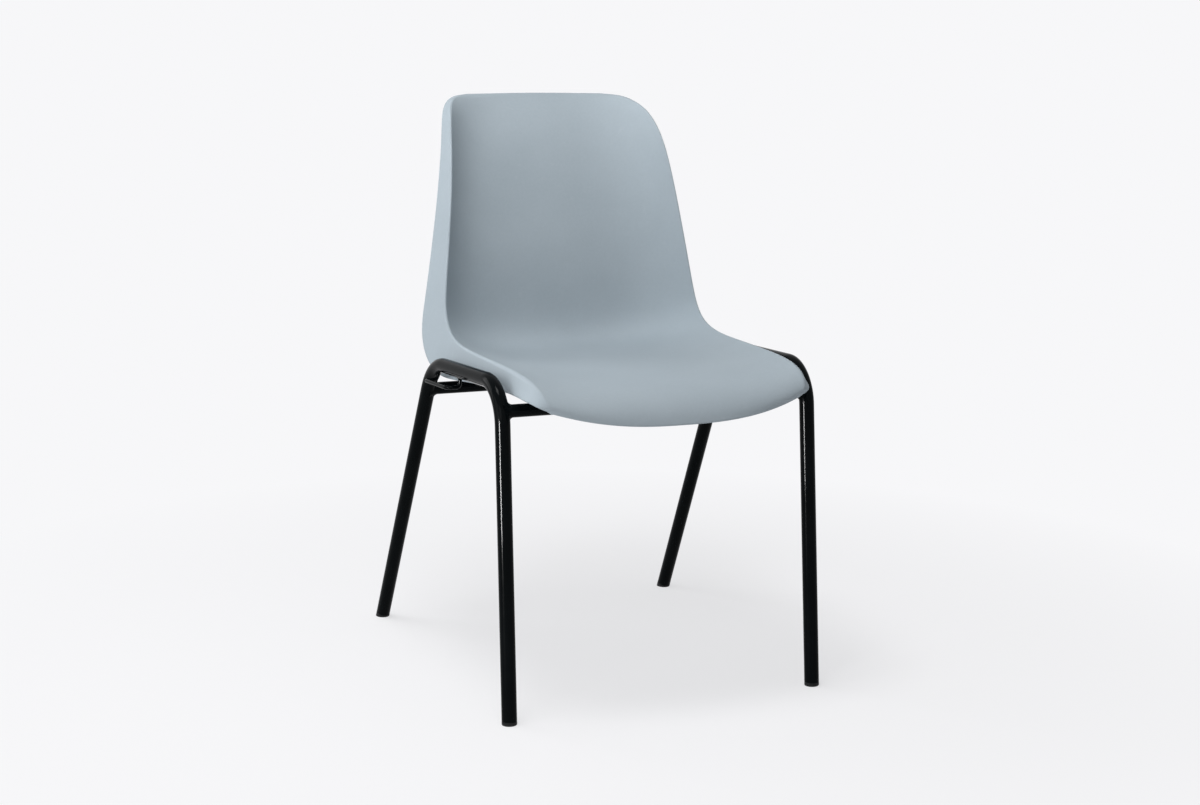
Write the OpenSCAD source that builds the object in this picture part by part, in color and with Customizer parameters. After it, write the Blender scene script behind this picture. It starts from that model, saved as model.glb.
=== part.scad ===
// Stacking side chair: one moulded shell on two bent tube hoops and two crossbars.
// X runs across the chair, -Y is the front of the seat and +Z is up. The origin is on
// the floor, midway between the front lip of the seat and the heels of the rear feet.

/* [Shell] */
// Width of the shell from rim to rim across the seat
shell_w = 389; // [376:1:410]
// Distance in plan from the front lip to the top edge of the back
shell_depth = 556; // [545:1:570]
// Height of the top edge of the back above the front lip
shell_h = 393; // [385:1:410]
// Thickness of the moulded wall
shell_wall = 4; // [3:0.1:4.5]
// Outer radius of the rolled rim along both sides
rim_r = 5; // [4.8:0.1:6]
// Depth of the side flange where the seat turns into the back
flange_d = 52; // [44:1:56]
// Height of the seat face above the top of the front crossbar
seat_rise = 21.4; // [19:0.1:26]
// How far the front lip hangs out in front of the front feet
lip_overhang = 50; // [40:1:60]

/* [Hoops] */
// Outside diameter of the bent leg tube
tube_d = 20; // [18:0.5:22]
// Wall of the leg tube
tube_wall = 1.5; // [1:0.1:2.5]
// Height of the rail's centre line where it would meet the front leg
rail_h = 436; // [425:1:450]
// How far the rail falls towards the rear leg
rail_fall = 12.4; // [6:0.2:16]
// Length of the rail between its two corners, seen in plan
rail_len = 256; // [245:1:265]
// How far the front foot stands in front of the rail's front corner
front_rake = 38; // [30:1:46]
// How far the rear foot stands behind the rail's rear corner
rear_rake = 226; // [205:1:240]
// Bend radius of the front corner, to the tube's centre line
front_bend_r = 55; // [50:1:60]
// Bend radius of the rear corner, to the tube's centre line
rear_bend_r = 79; // [70:1:85]
// Gap from the shell's rim to the inner side of the rail at its front corner
rail_gap = 11.9; // [10.5:0.1:16]
// Angle by which each hoop opens out towards the back
toe_out_angle = 1.5; // [1.2:0.1:2]
// Angle by which each hoop leans in towards the seat
lean_in_angle = 0.49; // [0:0.01:1]

/* [Crossbars] */
// Outside diameter of both crossbars
bar_d = 17; // [15:0.5:18]
// Wall of the crossbars
bar_wall = 1.5; // [1:0.1:2]
// How far the front crossbar's centre line lies below the height of the rail's front corner
front_bar_drop = 35; // [31:1:40]
// How much lower the rear crossbar is than the front one
bar_fall = 18; // [17:1:24]
// Length of the weld bead along the crossbar
weld_len = 6; // [3:0.5:8]
// Height of the weld bead above the crossbar
weld_rise = 3; // [1:0.5:4]
// Gap left in the weld between a coped end and the tube it meets
weld_gap = 0.1; // [0.05:0.05:0.2]

/* [Fastenings] */
// Distance from the chair's middle to each fixing screw
screw_x = 110; // [90:1:125]
// Diameter of the screw shank
screw_d = 5; // [4:0.5:6]
// Diameter of the screw head
head_d = 10; // [8:0.5:11]
// Height of the domed screw head
head_h = 3.2; // [2.4:0.1:4]
// Width of each slot of the cross recess
recess_w = 1.2; // [0.8:0.1:1.4]
// Depth of the cross recess
recess_depth = 1.6; // [1:0.1:2]
// Diameter of the saddle washer under each crossbar
washer_d = 14; // [13:0.5:15]
// Least thickness of the saddle washer, below the crossbar
washer_t = 1.6; // [1.2:0.1:2.5]
// How high the saddle washer wraps round the crossbar
washer_wrap = 3; // [2:0.1:4]
// Outside diameter of the threaded insert in each boss
insert_d = 8; // [7.5:0.5:9]
// Length of the threaded insert
insert_len = 10; // [8:0.5:10.5]
// Diameter of the moulded boss under the seat
boss_d = 26; // [24:0.5:28]
// How far the boss reaches down past the top of its crossbar
saddle_depth = 5.5; // [4:0.1:6.5]
// Radial gap between a piece and the hole or saddle that holds it
fit_gap = 0.2; // [0.1:0.05:0.3]

/* [Feet] */
// Length of a front foot plug's head along the leg
front_head_len = 5; // [4:0.5:7]
// Length of a rear foot plug's head along the leg
rear_head_len = 9; // [8:0.5:12]
// Chamfer round the sole of a foot plug
sole_chamfer = 2; // [1:0.1:3]
// Length of the plug's stem inside the tube
stem_len = 24; // [16:1:32]
// Bore of the plug's stem
stem_bore_d = 9; // [6:0.5:10]
// Size of the shadow groove between the plug's head and the tube
groove = 0.7; // [0.3:0.1:1]

/* [Linking] */
// Diameter of the linking wire
wire_d = 5; // [4:0.5:6]
// Bend radius of the linking wire, to its centre line
wire_bend_r = 6; // [5:0.5:7]
// Length of the loop along the rail
loop_len = 88; // [80:1:100]
// Distance from the rail's rear corner to the loop's rear post
loop_setback = 17; // [12:1:24]
// How far the loop's outer run lies outside the rail's centre line
loop_reach = 19; // [16:0.5:20]
// Bend radius of the loop's two outer corners, to the wire's centre line
loop_corner_r = 9; // [6:0.5:11]
// How far the loop and the hook hang below the underside of the rail
link_drop = 12; // [11:0.5:15]
// How far the hook's tip lies outside the rail's centre line
hook_reach = 29; // [24:0.5:30]
// Length of the hook's downturned tip, from the centre of its arm
hook_tip = 22; // [16:0.5:26]

/* [Hidden] */
$fn = 48;

shell_colour = [0.61, 0.65, 0.68];
paint_colour = [0.04, 0.04, 0.05];
foot_colour = [0.08, 0.08, 0.09];
zinc_colour = [0.72, 0.73, 0.75];
brass_colour = [0.76, 0.62, 0.32];

// Radii and the plan of the frame
tube_r = tube_d / 2;
bar_r = bar_d / 2;
wire_r = wire_d / 2;
cut_over = tube_d;
foot_span = front_rake + rail_len + rear_rake;
front_lean = atan(front_rake / rail_h);
rail_slope = atan(rail_fall / rail_len);
rear_lean = atan(rear_rake / (rail_h - rail_fall));
heel_reach = tube_r / cos(rear_lean);
overall_depth = lip_overhang + foot_span * cos(toe_out_angle) + heel_reach;
lip_y = -overall_depth / 2;

// A place in the right hoop's plane: how far behind its front foot, and how high
front_foot = [
    shell_w / 2 + rail_gap + tube_r
        - front_rake * sin(toe_out_angle) * cos(lean_in_angle) + rail_h * sin(lean_in_angle),
    lip_y + lip_overhang,
    0
];
function on_hoop(back, up) = front_foot + [
    back * sin(toe_out_angle) * cos(lean_in_angle) - up * sin(lean_in_angle),
    back * cos(toe_out_angle),
    back * sin(toe_out_angle) * sin(lean_in_angle) + up * cos(lean_in_angle)
];

// The hoop's two bends, the straight lengths between them, and their hubs in its plane
front_turn = 90 - front_lean + rail_slope;
rear_turn = 90 - rear_lean - rail_slope;
front_bend_reach = front_bend_r * tan(front_turn / 2);
rear_bend_reach = rear_bend_r * tan(rear_turn / 2);
front_leg_len = norm([front_rake, rail_h]) - front_bend_reach;
rail_straight = norm([rail_len, rail_fall]) - front_bend_reach - rear_bend_reach;
rear_leg_len = norm([rear_rake, rail_h - rail_fall]) - rear_bend_reach;
front_bend_up = front_leg_len * cos(front_lean);
rear_bend_up = rear_leg_len * cos(rear_lean);
front_hub = [
    front_leg_len * sin(front_lean) + front_bend_r * cos(front_lean),
    front_bend_up - front_bend_r * sin(front_lean)
];
rear_hub = [
    foot_span - rear_leg_len * sin(rear_lean) - rear_bend_r * cos(rear_lean),
    rear_bend_up - rear_bend_r * sin(rear_lean)
];

// Each crossbar's end lies on the hoop's centre line, on the leg or in the bend above it
front_bar_h = rail_h - front_bar_drop;
rear_bar_h = front_bar_h - bar_fall;
function bend_width(r, rise) = sqrt(max(r * r - rise * rise, 0));
front_bar_back = front_bar_h > front_bend_up
    ? front_hub[0] - bend_width(front_bend_r, front_bar_h - front_hub[1])
    : front_bar_h * tan(front_lean);
rear_bar_back = rear_bar_h > rear_bend_up
    ? rear_hub[0] + bend_width(rear_bend_r, rear_bar_h - rear_hub[1])
    : foot_span - rear_bar_h * tan(rear_lean);
front_bar_end = on_hoop(front_bar_back, front_bar_h);
rear_bar_end = on_hoop(rear_bar_back, rear_bar_h);
front_bar_y = front_bar_end.y;
rear_bar_y = rear_bar_end.y;

function unit(v) = v / norm(v);
function flip(p) = [-p.x, p.y, p.z];

// The shell's rows run from the front lip over the seat and up the back to the top edge.
// Its centre line, as shares of the shell's depth and height
centre_shares = [
    [0, 0], [0.006, 0.036], [0.032, 0.078], [0.086, 0.104], [0.171, 0.114], [0.324, 0.112],
    [0.468, 0.101], [0.588, 0.092], [0.700, 0.087], [0.770, 0.103], [0.800, 0.175],
    [0.808, 0.295], [0.820, 0.438], [0.845, 0.581], [0.878, 0.716], [0.915, 0.835],
    [0.957, 0.924], [0.984, 0.970], [1, 1]
];
// Its right rim, as shares of half the width, the depth and the height
rim_shares = [
    [0.882, 0.043, 0.048], [0.915, 0.037, 0.070], [0.940, 0.050, 0.101], [0.965, 0.090, 0.134],
    [0.987, 0.171, 0.152], [0.997, 0.324, 0.154], [1, 0.450, 0.153], [1, 0.565, 0.153],
    [0.994, 0.640, 0.174], [0.990, 0.684, 0.218], [0.979, 0.706, 0.285], [0.954, 0.718, 0.381],
    [0.920, 0.734, 0.505], [0.887, 0.753, 0.632], [0.856, 0.779, 0.759], [0.826, 0.815, 0.869],
    [0.778, 0.870, 0.949], [0.696, 0.936, 0.992], [0.535, 0.982, 0.999]
];
// The depth of the side flange, as a share of its depth down the side of the back
flange_shares = [
    0.04, 0.12, 0.24, 0.36, 0.41, 0.53, 0.66, 0.83, 1.14, 1.42,
    0.94, 0.82, 0.73, 0.63, 0.53, 0.42, 0.27, 0.12, 0.04
];
// The angle by which the flange spreads outwards
flange_angles = [30, 30, 30, 26, 15, 11, 11, 11, 12, 14, 16, 17, 17, 17, 17, 17, 17, 17, 17];
// How far the rim rolls over, as a share of the whole turn from the face to the flange
roll_shares = [0.1, 0.4, 0.8, 1, 1, 1, 1, 1, 1, 1, 1, 1, 1, 1, 1, 1, 0.9, 0.5, 0.1];
// The power of the curve across each row: low is a plain arch, high is flat with raised sides
crown_powers = [2.6, 2.8, 3.2, 3.8, 4, 4, 4, 4, 4, 4.3, 4.6, 4.8, 4.8, 4.8, 4.8, 4.6, 4, 3.2, 2.4];
// Stations across half of a row, as shares of the way from the middle to the rim
across_shares = [0, 0.16, 0.32, 0.46, 0.58, 0.69, 0.78, 0.86, 0.92, 0.965, 1];
last_row = len(centre_shares) - 1;
row_steps = 3;
corner_steps = 6;
corner_start = 7;
corner_end = 11;
rim_steps = 5;
flange_steps = 3;
probe_share = 0.05;
edge_round_share = 0.3;

// A smooth curve through a table of rows, at place t counted in rows
function smooth_at(rows, t) = let (
    last = len(rows) - 1,
    i = min(floor(t), last - 1),
    f = t - i,
    before = i == 0 ? 2 * rows[0] - rows[1] : rows[i - 1],
    after = i == last - 1 ? 2 * rows[last] - rows[last - 1] : rows[i + 2]
) (before * pow(1 - f, 3) + rows[i] * (3 * pow(f, 3) - 6 * f * f + 4)
    + rows[i + 1] * (-3 * pow(f, 3) + 3 * f * f + 3 * f + 1) + after * pow(f, 3)) / 6;

// The row whose centre line lies at depth y, found by halving the table
function row_at(y, low = 0, high = last_row, tries = 24) = let (mid = (low + high) / 2)
    tries == 0 ? mid
    : lip_y + shell_depth * smooth_at(centre_shares, mid)[0] < y ? row_at(y, mid, high, tries - 1)
    : row_at(y, low, mid, tries - 1);
lip_z = front_bar_end.z + bar_r + seat_rise
    - shell_h * smooth_at(centre_shares, row_at(front_bar_y))[1];

function centre_at(t) = let (s = smooth_at(centre_shares, t))
    [0, lip_y + shell_depth * s[0], lip_z + shell_h * s[1]];
function rim_at(t) = let (s = smooth_at(rim_shares, t))
    [shell_w / 2 * s[0], lip_y + shell_depth * s[1], lip_z + shell_h * s[2]];
function rim_run(t) = unit(rim_at(min(t + probe_share, last_row)) - rim_at(max(t - probe_share, 0)));

// The face across a row: it leaves the centre line flat and climbs to the edge at its side
function face_point(centre, edge, power, share) = [
    edge.x * share,
    centre.y + (edge.y - centre.y) * pow(share, power),
    centre.z + (edge.z - centre.z) * pow(share, power)
];

// The right half of a row: the face, then the roll round the rim, then the flange
function half_row(t) = let (
    centre = centre_at(t),
    rim = rim_at(t),
    run = rim_run(t),
    under = unit([0, run.z, -run.y]),
    out = cross(under, run),
    power = smooth_at(crown_powers, t),
    climb = [rim.x, power * (rim.y - centre.y), power * (rim.z - centre.z)],
    first = 90 + atan2(-(climb * under), climb * out),
    last = first + (smooth_at(flange_angles, t) - first) * smooth_at(roll_shares, t),
    mid = (first + last) / 2,
    hub = rim - rim_r * (cos(mid) * out - sin(mid) * under),
    edge = hub + rim_r * (cos(first) * out - sin(first) * under),
    heel = hub + rim_r * (cos(last) * out - sin(last) * under),
    flange = (sin(last) * out + cos(last) * under) * flange_d * smooth_at(flange_shares, t)
) concat(
    [for (share = across_shares) face_point(centre, edge, power, share)],
    [for (k = [1 : rim_steps]) let (a = first + (last - first) * k / rim_steps)
        hub + rim_r * (cos(a) * out - sin(a) * under)],
    [for (k = [1 : flange_steps]) heel + flange * k / flange_steps]
);
function whole_row(half) = concat([for (k = [len(half) - 1 : -1 : 1]) flip(half[k])], half);

// The rows stand closer together where the flange rounds the corner below the back
row_places = concat(
    [for (k = [0 : corner_start * row_steps - 1]) k / row_steps],
    [for (k = [corner_start * corner_steps : corner_end * corner_steps]) k / corner_steps],
    [for (k = [corner_end * row_steps + 1 : last_row * row_steps]) k / row_steps]
);
skin = [for (t = row_places) whole_row(half_row(t))];
rows = len(skin);
cols = len(skin[0]);

// The upward side of the sheet at one point of the skin
function lift(i, j) = unit(cross(
    skin[i][min(j + 1, cols - 1)] - skin[i][max(j - 1, 0)],
    skin[min(i + 1, rows - 1)][j] - skin[max(i - 1, 0)][j]
));
lining = [for (i = [0 : rows - 1]) [for (j = [0 : cols - 1]) skin[i][j] - shell_wall * lift(i, j)]];

// The rounded edge lies between the two faces and a little outside them
edge_round = edge_round_share * shell_wall;
function edge_point(i, j, inner_i, inner_j) = (skin[i][j] + lining[i][j]) / 2
    + edge_round * unit(skin[i][j] - skin[inner_i][inner_j]);
function ring(i) = concat(
    skin[i],
    [edge_point(i, cols - 1, i, cols - 2)],
    [for (j = [cols - 1 : -1 : 0]) lining[i][j]],
    [edge_point(i, 0, i, 1)]
);
ring_size = 2 * cols + 2;
lip_start = rows * ring_size;
top_start = lip_start + cols;
sheet_points = concat(
    [for (i = [0 : rows - 1]) each ring(i)],
    [for (j = [0 : cols - 1]) edge_point(0, j, 1, j)],
    [for (j = [0 : cols - 1]) edge_point(rows - 1, j, rows - 2, j)]
);

// Two triangles over four corners, given clockwise as seen from outside
function quad(a, b, c, d) = [[a, b, c], [a, c, d]];
function turned(faces, way) = way > 0 ? faces : [for (f = faces) [f[2], f[1], f[0]]];
// The strip that closes one end of the sheet: ring number i, its middle points from start
function end_strip(i, start, way) = let (
    face = i * ring_size,
    back = i * ring_size + 2 * cols,
    right = i * ring_size + cols,
    left = i * ring_size + 2 * cols + 1
) turned(concat(
    [for (j = [0 : cols - 2]) each quad(face + j, face + j + 1, start + j + 1, start + j)],
    [for (j = [0 : cols - 2]) each quad(start + j, start + j + 1, back - j - 1, back - j)],
    [[left, face, start], [left, start, back]],
    [[face + cols - 1, right, start + cols - 1], [start + cols - 1, right, right + 1]]
), way);
sheet_faces = concat(
    [for (i = [0 : rows - 2]) for (k = [0 : ring_size - 1]) let (n = (k + 1) % ring_size)
        each quad(i * ring_size + k, (i + 1) * ring_size + k, (i + 1) * ring_size + n, i * ring_size + n)],
    end_strip(0, lip_start, 1),
    end_strip(rows - 1, top_start, -1)
);

// The place on the seat above a screw, and how the face slopes there
function face_at(t, x) = let (half = half_row(t), edge = half[len(across_shares) - 1])
    face_point(centre_at(t), edge, smooth_at(crown_powers, t), x / edge.x);
function seat_row(x, y, low = 0, high = last_row, tries = 20) = let (mid = (low + high) / 2)
    tries == 0 ? mid
    : face_at(mid, x).y < y ? seat_row(x, y, mid, high, tries - 1)
    : seat_row(x, y, low, mid, tries - 1);
function seat_slope_y(t, x) = let (step = face_at(t + probe_share, x) - face_at(t - probe_share, x))
    atan2(step.z, step.y);
function seat_slope_x(t, x) = let (step = face_at(t, x + wire_r) - face_at(t, x - wire_r))
    atan2(step.z, step.x);

// Heights along a fixing screw, from the head upwards, beside a crossbar at height h
function washer_base(h) = h - bar_r - fit_gap - washer_t;
function boss_base(h) = h + bar_r - saddle_depth;
function insert_base(h) = h + bar_r + fit_gap;
screw_len = washer_t + bar_d + 3 * fit_gap + insert_len;

// How far a straight length of a rod runs on into a bend, and how much fuller the bend is
bend_lap_share = 0.1;
bend_swell_share = 0.01;
function bend_lap(r) = bend_lap_share * r;
function bend_swell(r) = bend_swell_share * r;

module along(from, to) {
    run = to - from;
    translate(from)
        rotate([0, acos(run.z / norm(run)), atan2(run.y, run.x)])
            children();
}

module rod(from, to, r) {
    along(from, to)
        cylinder(h = norm(to - from), r = r);
}

// A bend of a rod that comes up along Z and turns over towards X. It is a hair fuller
// than the rod, so that the straight lengths can lap into it
module elbow(turn, bend_r, r) {
    translate([bend_r, 0, 0])
        rotate([90, 0, 0])
            rotate([0, 0, 180 - turn])
                rotate_extrude(angle = turn)
                    translate([bend_r, 0])
                        circle(r + bend_swell(r));
}

// Carries its children to the far end of such a bend
module past_elbow(turn, bend_r) {
    translate([bend_r, 0, 0])
        rotate([0, turn, 0])
            translate([-bend_r, 0, 0])
                children();
}

// A round rod: straight lengths with a bend after each but the last. Each bend is given
// as its turn, its radius and how far the rod is rolled about its own line before it
module bent_rod(lengths, bends, r, k = 0) {
    start = k == 0 ? 0 : -bend_lap(r);
    end = lengths[k] + (k == len(bends) ? 0 : bend_lap(r));
    translate([0, 0, start])
        cylinder(h = end - start, r = r);
    if (k < len(bends))
        translate([0, 0, lengths[k]])
            rotate([0, 0, bends[k][2]]) {
                elbow(bends[k][0], bends[k][1], r);
                past_elbow(bends[k][0], bends[k][1])
                    bent_rod(lengths, bends, r, k + 1);
            }
}

// Carries its children from the right hoop's own plane to its place in the chair
module in_hoop_plane() {
    translate(front_foot)
        rotate([0, -lean_in_angle, 0])
            rotate([0, 0, -toe_out_angle])
                children();
}

// The right hoop as a full round rod, with each end held back up its leg
module hoop_rod(r, front_cut, rear_cut) {
    in_hoop_plane()
        rotate([-front_lean, 0, 0])
            rotate([0, 0, 90])
                translate([0, 0, front_cut])
                    bent_rod(
                        [front_leg_len - front_cut, rail_straight, rear_leg_len - rear_cut],
                        [[front_turn, front_bend_r, 0], [rear_turn, rear_bend_r, 0]],
                        r
                    );
}

module hoop() {
    color(paint_colour)
        difference() {
            hoop_rod(tube_r, front_head_len, rear_head_len);
            hoop_rod(tube_r - tube_wall, 0, 0);
        }
}

module left_hoop() {
    mirror([1, 0, 0])
        hoop();
}

module right_hoop() {
    hoop();
}

// A crossbar between the legs, coped to them, with its weld beads and screw holes
module crossbar(end) {
    half = end.x;
    reach = half - tube_r;
    color(paint_colour)
        difference() {
            union() {
                rod([-half, end.y, end.z], [half, end.y, end.z], bar_r);
                for (side = [0, 1])
                    mirror([side, 0, 0])
                        weld_bead([reach - weld_len, end.y, end.z], half);
            }
            rod([-half - cut_over, end.y, end.z], [half + cut_over, end.y, end.z], bar_r - bar_wall);
            for (side = [0, 1])
                mirror([side, 0, 0]) {
                    hoop_rod(tube_r + weld_gap, 0, 0);
                    translate([screw_x, end.y, end.z - bar_d])
                        cylinder(h = 2 * bar_d, r = screw_d / 2 + fit_gap);
                }
        }
}

module weld_bead(from, end_x) {
    translate(from)
        rotate([0, 90, 0]) {
            cylinder(h = weld_len, r1 = bar_r, r2 = bar_r + weld_rise);
            translate([0, 0, weld_len])
                cylinder(h = end_x - from.x - weld_len, r = bar_r + weld_rise);
        }
}

module front_crossbar() {
    crossbar(front_bar_end);
}

module rear_crossbar() {
    crossbar(rear_bar_end);
}

// A wire that hangs from the right rail at a distance from its rear corner, cut off at
// the tube. It starts on the rail's centre line and runs straight down from it
module hanging_wire(setback, lengths, bends) {
    color(paint_colour)
        difference() {
            in_hoop_plane()
                translate([0, front_rake + rail_len, rail_h - rail_fall])
                    rotate([-rail_slope, 0, 0])
                        translate([0, -setback, 0])
                            rotate([180, 0, 0])
                                bent_rod(lengths, bends, wire_r);
            hoop_rod(tube_r + weld_gap, 0, 0);
        }
}

// A wire eye: down, out, forward along the rail, in and up again
module link_loop() {
    post = tube_r + link_drop - wire_bend_r;
    arm = loop_reach - wire_bend_r - loop_corner_r;
    mirror([1, 0, 0])
        hanging_wire(
            loop_setback,
            [post, arm, loop_len - 2 * loop_corner_r, arm, post],
            [
                [90, wire_bend_r, 0], [90, loop_corner_r, 90],
                [90, loop_corner_r, 0], [90, wire_bend_r, -90]
            ]
        );
}

// A wire hook that drops into a neighbour's eye: down, out and down again
module link_hook() {
    post = tube_r + link_drop - wire_d - wire_bend_r;
    hanging_wire(
        loop_setback + loop_len / 2,
        [post, hook_reach - 2 * wire_bend_r, hook_tip - wire_bend_r],
        [[90, wire_bend_r, 0], [90, wire_bend_r, 180]]
    );
}

// A foot plug: its head under the tube is cut level with the floor, its stem is inside
module foot_plug(foot, corner, lean, head_len) {
    stem_r = tube_r - tube_wall - fit_gap;
    sole = -tube_r * tan(lean);
    color(foot_colour)
        difference() {
            along(foot, corner) {
                translate([0, 0, sole])
                    cylinder(h = sole_chamfer, r1 = tube_r - sole_chamfer, r2 = tube_r);
                translate([0, 0, sole + sole_chamfer])
                    cylinder(h = head_len - groove - sole - sole_chamfer, r = tube_r);
                translate([0, 0, sole + sole_chamfer])
                    cylinder(h = head_len - sole - sole_chamfer, r = tube_r - groove);
                translate([0, 0, sole + sole_chamfer])
                    cylinder(h = head_len + stem_len - sole - sole_chamfer, r = stem_r);
            }
            along(foot, corner)
                translate([0, 0, head_len + groove])
                    cylinder(h = stem_len, r = stem_bore_d / 2);
            translate([foot.x - tube_d, foot.y - tube_d, -tube_d])
                cube([2 * tube_d, 2 * tube_d, tube_d]);
        }
}

module front_right_foot() {
    foot_plug(front_foot, on_hoop(front_rake, rail_h), front_lean, front_head_len);
}

module front_left_foot() {
    mirror([1, 0, 0])
        front_right_foot();
}

module rear_right_foot() {
    rear_foot = on_hoop(foot_span, 0);
    rear_corner = on_hoop(front_rake + rail_len, rail_h - rail_fall);
    foot_plug(rear_foot, rear_corner, rear_lean, rear_head_len);
}

module rear_left_foot() {
    mirror([1, 0, 0])
        rear_right_foot();
}

// A fixing screw from below: its domed head, cross recess and shank
module screw(side, end) {
    color(zinc_colour)
        translate([side * screw_x, end.y, washer_base(end.z)]) {
            cylinder(h = screw_len, r = screw_d / 2);
            difference() {
                intersection() {
                    translate([0, 0, -head_h])
                        cylinder(h = head_h, r = head_d / 2);
                    translate([0, 0, head_d / 2])
                        sphere(head_d / 2 + head_h);
                }
                for (turn = [0, 90])
                    rotate([0, 0, turn])
                        translate([-head_d / 4, -recess_w / 2, -head_h])
                            cube([head_d / 2, recess_w, recess_depth]);
            }
        }
}

module front_left_screw() {
    screw(-1, front_bar_end);
}

module front_right_screw() {
    screw(1, front_bar_end);
}

module rear_left_screw() {
    screw(-1, rear_bar_end);
}

module rear_right_screw() {
    screw(1, rear_bar_end);
}

// A saddle washer: flat for the screw head, hollowed for the round crossbar
module washer(side, end) {
    x = side * screw_x;
    color(foot_colour)
        difference() {
            translate([x, end.y, washer_base(end.z)])
                cylinder(h = washer_t + fit_gap + washer_wrap, r = washer_d / 2);
            rod([x - washer_d, end.y, end.z], [x + washer_d, end.y, end.z], bar_r + fit_gap);
            translate([x, end.y, washer_base(end.z) - washer_t])
                cylinder(h = bar_d, r = screw_d / 2 + fit_gap);
        }
}

module front_left_washer() {
    washer(-1, front_bar_end);
}

module front_right_washer() {
    washer(1, front_bar_end);
}

module rear_left_washer() {
    washer(-1, rear_bar_end);
}

module rear_right_washer() {
    washer(1, rear_bar_end);
}

// A threaded insert pressed into a boss from below
module insert(side, end) {
    color(brass_colour)
        translate([side * screw_x, end.y, insert_base(end.z)])
            difference() {
                cylinder(h = insert_len, r = insert_d / 2);
                translate([0, 0, -insert_len])
                    cylinder(h = 3 * insert_len, r = screw_d / 2 + fit_gap / 2);
            }
}

module front_left_insert() {
    insert(-1, front_bar_end);
}

module front_right_insert() {
    insert(1, front_bar_end);
}

module rear_left_insert() {
    insert(-1, rear_bar_end);
}

module rear_right_insert() {
    insert(1, rear_bar_end);
}

// A boss under the seat: it ends inside the shell's wall and straddles its crossbar
module boss(end) {
    t = seat_row(screw_x, end.y);
    seat = face_at(t, screw_x);
    base = boss_base(end.z);
    bore_len = insert_len + 2 * fit_gap;
    difference() {
        translate([screw_x, end.y, base])
            cylinder(h = seat.z - base + boss_d, r = boss_d / 2);
        translate([screw_x, end.y, seat.z - shell_wall / 2])
            rotate([seat_slope_y(t, screw_x), -seat_slope_x(t, screw_x), 0])
                translate([-boss_d, -boss_d, 0])
                    cube(2 * boss_d);
        rod([screw_x - boss_d, end.y, end.z], [screw_x + boss_d, end.y, end.z], bar_r + fit_gap);
        translate([screw_x, end.y, end.z])
            cylinder(h = bar_r + bore_len, r = insert_d / 2 + fit_gap / 2);
    }
}

module seat_shell() {
    color(shell_colour)
        union() {
            polyhedron(points = sheet_points, faces = sheet_faces, convexity = 8);
            for (side = [0, 1])
                mirror([side, 0, 0]) {
                    boss(front_bar_end);
                    boss(rear_bar_end);
                }
        }
}

seat_shell();
left_hoop();
right_hoop();
front_crossbar();
rear_crossbar();
link_loop();
link_hook();
front_left_foot();
front_right_foot();
rear_left_foot();
rear_right_foot();
front_left_screw();
front_right_screw();
rear_left_screw();
rear_right_screw();
front_left_washer();
front_right_washer();
rear_left_washer();
rear_right_washer();
front_left_insert();
front_right_insert();
rear_left_insert();
rear_right_insert();
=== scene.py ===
import math

import bmesh
import bpy
import numpy as np
from mathutils import Matrix, Vector
from mathutils.bvhtree import BVHTree


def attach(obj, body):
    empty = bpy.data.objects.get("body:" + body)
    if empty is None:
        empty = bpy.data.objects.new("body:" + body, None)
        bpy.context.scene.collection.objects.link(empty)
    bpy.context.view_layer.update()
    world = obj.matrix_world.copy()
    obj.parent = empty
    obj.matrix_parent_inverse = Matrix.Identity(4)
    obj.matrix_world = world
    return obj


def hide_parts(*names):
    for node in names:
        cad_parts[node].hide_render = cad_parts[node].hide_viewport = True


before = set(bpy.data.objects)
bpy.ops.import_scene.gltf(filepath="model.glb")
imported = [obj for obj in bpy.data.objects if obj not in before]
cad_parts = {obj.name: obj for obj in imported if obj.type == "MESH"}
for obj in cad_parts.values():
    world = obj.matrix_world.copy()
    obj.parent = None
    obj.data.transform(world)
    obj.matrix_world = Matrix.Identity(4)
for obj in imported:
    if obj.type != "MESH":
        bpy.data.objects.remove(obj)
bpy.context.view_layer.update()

# ---------------------------------------------------------------- sizes, in millimetres
# They repeat the named values of part.scad, which this script can't read.
MM = 0.001
SHELL_W, SHELL_DEPTH, SHELL_H, SHELL_WALL = 389.0, 556.0, 393.0, 4.0
RIM_R, FLANGE_D, SEAT_RISE, LIP_OVERHANG = 5.0, 52.0, 21.4, 50.0
TUBE_R, TUBE_WALL = 10.0, 1.5
RAIL_H, RAIL_FALL, RAIL_LEN = 436.0, 12.4, 256.0
FRONT_RAKE, REAR_RAKE = 38.0, 226.0
FRONT_BEND_R, REAR_BEND_R = 55.0, 79.0
RAIL_GAP = 11.9
TOE_OUT, LEAN_IN = math.radians(1.5), math.radians(0.49)
BAR_R, BAR_WALL = 8.5, 1.5
FRONT_BAR_DROP, BAR_FALL = 35.0, 18.0
FRONT_BAR_H = RAIL_H - FRONT_BAR_DROP
REAR_BAR_H = FRONT_BAR_H - BAR_FALL
SCREW_X, SCREW_D = 110.0, 5.0
INSERT_D, INSERT_LEN, BOSS_R, SADDLE_DEPTH = 8.0, 10.0, 13.0, 5.5
FIT_GAP = 0.2
FRONT_HEAD_LEN, REAR_HEAD_LEN = 5.0, 9.0
SOLE_ROUND, STEM_LEN, STEM_BORE_R, GROOVE = 2.0, 24.0, 4.5, 0.7
WIRE_R, WIRE_BEND_R, LOOP_CORNER_R = 2.5, 6.0, 9.0
LOOP_LEN, LOOP_SETBACK, LOOP_REACH = 88.0, 17.0, 19.0
LINK_DROP, HOOK_REACH, HOOK_TIP = 12.0, 29.0, 22.0
QUARTER = math.pi / 2


def vec(*p):
    return np.array(p, float)


def unit(v):
    return v / np.linalg.norm(v)


def flip(p):
    return p * vec(-1, 1, 1)


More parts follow.
